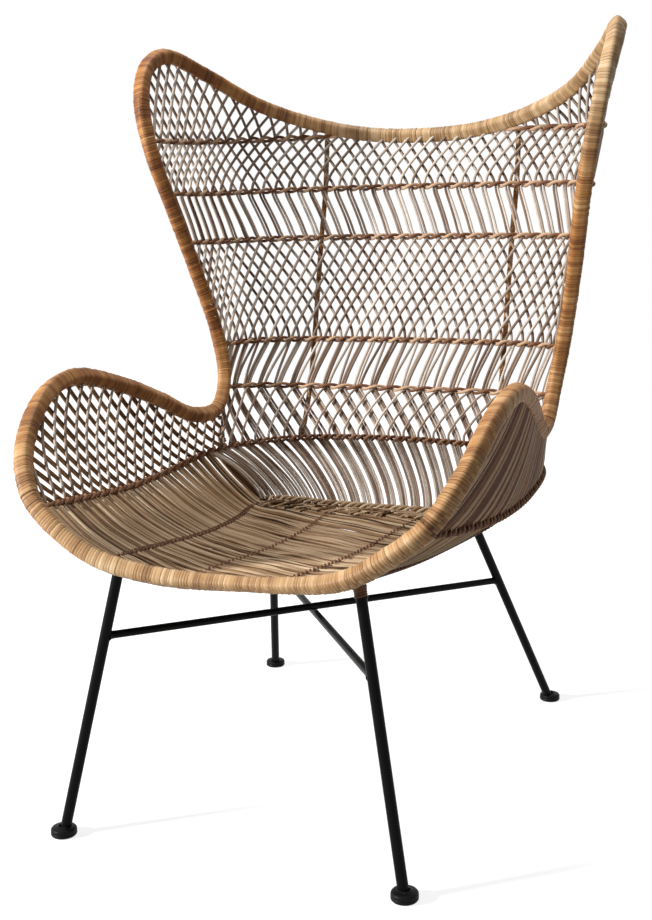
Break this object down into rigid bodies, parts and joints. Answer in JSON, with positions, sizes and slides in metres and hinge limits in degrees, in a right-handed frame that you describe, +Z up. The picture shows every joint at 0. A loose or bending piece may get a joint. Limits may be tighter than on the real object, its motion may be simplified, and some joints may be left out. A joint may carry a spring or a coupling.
{
  "type": "rattan wing lounge chair",
  "caption": "Open-weave rattan lounge chair with a wrapped rim, high wings, curved arms and a bucket seat, on splayed steel rod legs with crossed stretchers and round feet.",
  "frame": {"origin": "on the floor under the middle of the chair's bounding box", "axes": "+Z up, the sitter faces -Y, +X to the right of someone who looks at the chair's front"},
  "size_m": [0.7596, 0.8195, 1.0839],
  "materials": {
    "peel": "satin rattan peel",
    "pole": "bare rattan pole",
    "stake": "weathered rattan core",
    "twine": "twisted rattan core",
    "steel": "satin black powder coat",
    "rubber": "matte black"
  },
  "bodies": {
    "root": {"rim_pole": "pole", "top_rail_wrap": "peel", "wing_wrap_left": "peel", "wing_wrap_right": "peel", "arm_wrap_left": "peel", "arm_wrap_right": "peel", "front_rail_wrap": "peel", "weave_low_left_wing": "stake", "weave_low_left_back": "stake", "weave_low_right_back": "stake", "weave_low_right_wing": "stake", "stakes_low_left_wing": "stake", "stakes_low_middle_back": "stake", "stakes_low_right_wing": "stake", "weave_tall_left_wing": "stake", "weave_tall_left_back": "stake", "weave_tall_right_back": "stake", "weave_tall_right_wing": "stake", "stakes_high_left_wing": "stake", "stakes_high_middle_back": "stake", "stakes_high_right_wing": "stake", "weave_high_left_wing": "stake", "weave_high_left_back": "stake", "weave_high_right_back": "stake", "weave_high_right_wing": "stake", "weave_top_left_wing": "stake", "weave_top_right_wing": "stake", "arm_weave_left": "stake", "arm_weave_right": "stake", "seat_side_left": "stake", "seat_side_right": "stake", "seat_back": "stake", "seat_floor": "stake", "row_1_left": "twine", "row_1_right": "twine", "row_2": "twine", "row_3": "twine", "row_4": "twine", "row_5": "twine", "row_6": "twine", "row_7_left": "twine", "row_7_right": "twine", "row_8_left": "twine", "row_8_right": "twine", "seat_border": "twine", "back_rib_left": "peel", "back_rib_right": "peel", "seat_hoop": "steel", "leg_front_left": "steel", "leg_front_right": "steel", "leg_rear_left": "steel", "leg_rear_right": "steel", "stretcher_lower": "steel", "stretcher_upper": "steel", "foot_front_left": "rubber", "foot_front_right": "rubber", "foot_rear_left": "rubber", "foot_rear_right": "rubber", "leg_binding_front_left": "peel", "leg_binding_front_right": "peel"}
  },
  "joints": []
}
